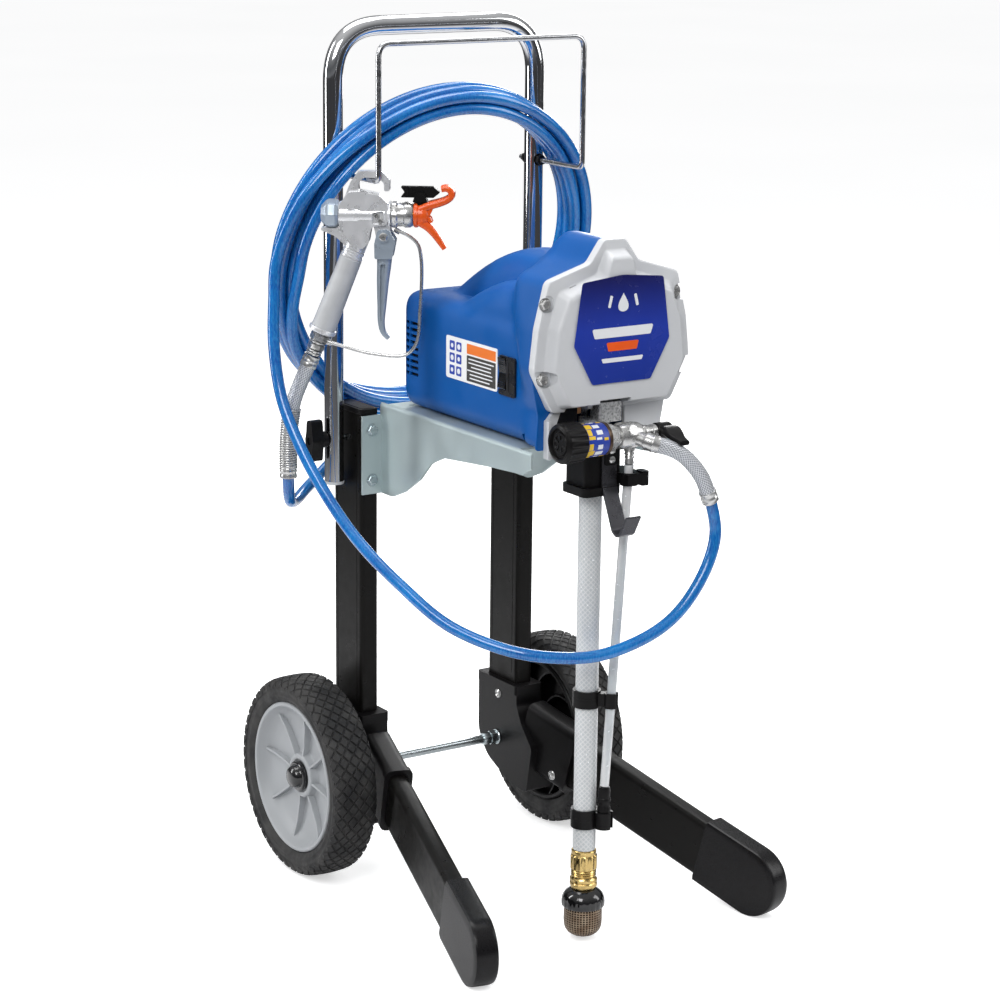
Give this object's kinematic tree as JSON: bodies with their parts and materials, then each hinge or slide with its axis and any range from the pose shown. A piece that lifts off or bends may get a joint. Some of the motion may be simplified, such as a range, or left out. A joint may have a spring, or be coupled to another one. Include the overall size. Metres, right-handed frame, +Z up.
{
  "type": "airless paint sprayer",
  "caption": "Cart-mounted airless paint sprayer: electric piston pump on a two-wheeled upright frame, with suction tube, coiled paint hose, trigger gun and hose rack.",
  "frame": {"origin": "on the floor, under the middle of the cart's plan box", "axes": "+Z up, -Y towards the pump front and the feet, +X to the right seen from the front"},
  "size_m": [0.4274, 0.5224, 0.953],
  "materials": {
    "axle_zinc": "bright zinc plated rod",
    "tyre_rubber": "semi-pneumatic rubber with a diamond tread",
    "rim_grey": "moulded grey plastic",
    "black_plastic": "fine textured black nylon",
    "black_frame": "satin black powder coat on steel tube",
    "foot_plastic": "smooth satin black plastic",
    "handle_chrome": "bright chrome plate on steel tube",
    "rack_wire": "bright plated wire",
    "bracket_zinc": "clear zinc plated sheet steel",
    "copper_winding": "varnished copper windings",
    "motor_steel": "ground steel",
    "gear_steel": "sintered steel",
    "cast_aluminium": "as-cast with machined faces",
    "housing_blue": "lightly textured blue moulding",
    "switch_black": "gloss black rocker",
    "cover_grey": "light grey semi-gloss moulding",
    "emblem_blue": "printed plate, deep blue gradient",
    "fitting_steel": "nickel plated fittings",
    "knob_black": "ribbed black plastic",
    "hook_steel": "dark coated strip steel",
    "clear_pvc": "clear braided PVC",
    "brass": "turned brass",
    "strainer_black": "gloss black moulding",
    "strainer_steel": "woven stainless mesh",
    "gun_aluminium": "polished cast aluminium",
    "grip_grey": "fine pebbled grey grip",
    "trigger_grey": "blue-grey coated metal",
    "guard_wire": "plated wire",
    "guard_orange": "orange nylon",
    "tip_black": "black nylon",
    "spring_steel": "braided and sprung steel sleeve",
    "hose_blue": "translucent blue polyurethane"
  },
  "bodies": {
    "root": {"axle": "axle_zinc", "hubcap_far": "black_plastic", "hubcap_near": "black_plastic", "upright_far": "black_frame", "upright_near": "black_frame", "upright_cap_far": "black_plastic", "upright_cap_near": "black_plastic", "knuckle_far": "black_plastic", "knuckle_near": "black_plastic", "leg_far": "black_frame", "leg_near": "black_frame", "foot_far": "foot_plastic", "foot_near": "foot_plastic", "handle": "handle_chrome", "hose_rack": "rack_wire", "mounting_bracket": "bracket_zinc", "motor_stator": "copper_winding", "drive_casting": "cast_aluminium", "motor_housing": "housing_blue", "cord_gland": "black_plastic", "front_cover": "cover_grey", "emblem_plate": "emblem_blue", "pump_body": "cast_aluminium", "manifold": "fitting_steel", "prime_valve": "fitting_steel", "tube_bracket": "black_plastic", "pail_hook": "hook_steel", "suction_tube": "clear_pvc", "suction_fitting": "brass", "strainer_cap": "strainer_black", "strainer_mesh": "strainer_steel", "prime_tube": "clear_pvc", "prime_deflector": "black_plastic", "tube_clip_upper": "black_plastic", "tube_clip_lower": "black_plastic", "gun_body": "gun_aluminium", "gun_grip": "grip_grey", "trigger_guard": "guard_wire", "gun_swivel": "fitting_steel", "hose_guard_pump": "spring_steel", "hose_run": "hose_blue", "hose_coil": "hose_blue", "hose_tail": "hose_blue", "hose_guard_gun": "spring_steel"},
    "wheel_far": {"tyre_far": "tyre_rubber", "rim_far": "rim_grey"},
    "wheel_near": {"tyre_near": "tyre_rubber", "rim_near": "rim_grey"},
    "handle_knob_far": {"handle_knob_far": "black_plastic"},
    "handle_knob_near": {"handle_knob_near": "black_plastic"},
    "rotor": {"motor_rotor": "motor_steel"},
    "drive_gear": {"drive_gear": "gear_steel"},
    "power_switch": {"power_switch": "switch_black"},
    "piston_rod": {"piston_rod": "motor_steel"},
    "pressure_knob": {"pressure_knob": "knob_black"},
    "prime_handle": {"prime_handle": "black_plastic"},
    "gun_trigger": {"gun_trigger": "trigger_grey"},
    "tip_guard": {"tip_guard": "guard_orange"},
    "switch_tip": {"switch_tip": "tip_black"}
  },
  "joints": [
    {"name": "wheel_near_spin", "type": "hinge", "parent": "root", "child": "wheel_near", "pos_m": [-0.1665, 0.1477, 0.1135], "axis": [1, 0, 0], "continuous": true},
    {"name": "wheel_far_spin", "type": "hinge", "parent": "root", "child": "wheel_far", "pos_m": [0.1665, 0.1477, 0.1135], "axis": [1, 0, 0], "continuous": true},
    {"name": "handle_knob_near_turn", "type": "hinge", "parent": "root", "child": "handle_knob_near", "pos_m": [-0.15, 0.1507, 0.495], "axis": [1, 0, 0], "continuous": true},
    {"name": "handle_knob_far_turn", "type": "hinge", "parent": "root", "child": "handle_knob_far", "pos_m": [0.15, 0.1507, 0.495], "axis": [1, 0, 0], "continuous": true},
    {"name": "pressure_knob_turn", "type": "hinge", "parent": "root", "child": "pressure_knob", "pos_m": [-0.05, -0.2093, 0.551], "axis": [1, 0, 0], "range_deg": [0, 270]},
    {"name": "prime_handle_turn", "type": "hinge", "parent": "root", "child": "prime_handle", "pos_m": [0.05, -0.2093, 0.551], "axis": [-1, 0, 0], "range_deg": [0, 85]},
    {"name": "power_switch_rock", "type": "hinge", "parent": "root", "child": "power_switch", "pos_m": [-0.0765, -0.1093, 0.607], "axis": [0, 1, 0], "range_deg": [-6, 6]},
    {"name": "trigger_pull", "type": "hinge", "parent": "root", "child": "gun_trigger", "pos_m": [-0.11953, 0.061, 0.7305], "axis": [0.5878, 0.809, 0], "range_deg": [0, 16], "stiffness_Nm_per_rad": 0.6, "springref_deg": -17.19},
    {"name": "tip_guard_turn", "type": "hinge", "parent": "root", "child": "tip_guard", "pos_m": [-0.08879, 0.03866, 0.7525], "axis": [0.809, -0.5878, 0], "range_deg": [-90, 90]},
    {"name": "switch_tip_flip", "type": "hinge", "parent": "tip_guard", "child": "switch_tip", "pos_m": [-0.08879, 0.03866, 0.7625], "axis": [0, 0, 1], "range_deg": [0, 180]},
    {"name": "rotor_spin", "type": "hinge", "parent": "root", "child": "rotor", "pos_m": [0, 0, 0.6054], "axis": [0, 1, 0], "continuous": true},
    {"name": "drive_gear_spin", "type": "hinge", "parent": "root", "child": "drive_gear", "pos_m": [-0.014, -0.1423, 0.645], "axis": [0, 1, 0], "continuous": true},
    {"name": "piston_stroke", "type": "slide", "parent": "root", "child": "piston_rod", "axis": [0, 0, 1], "range_m": [-0.01, 0.01]}
  ],
  "couplings": [
    {"joint": "drive_gear_spin", "follows": "rotor_spin", "ratio": -0.33333}
  ]
}
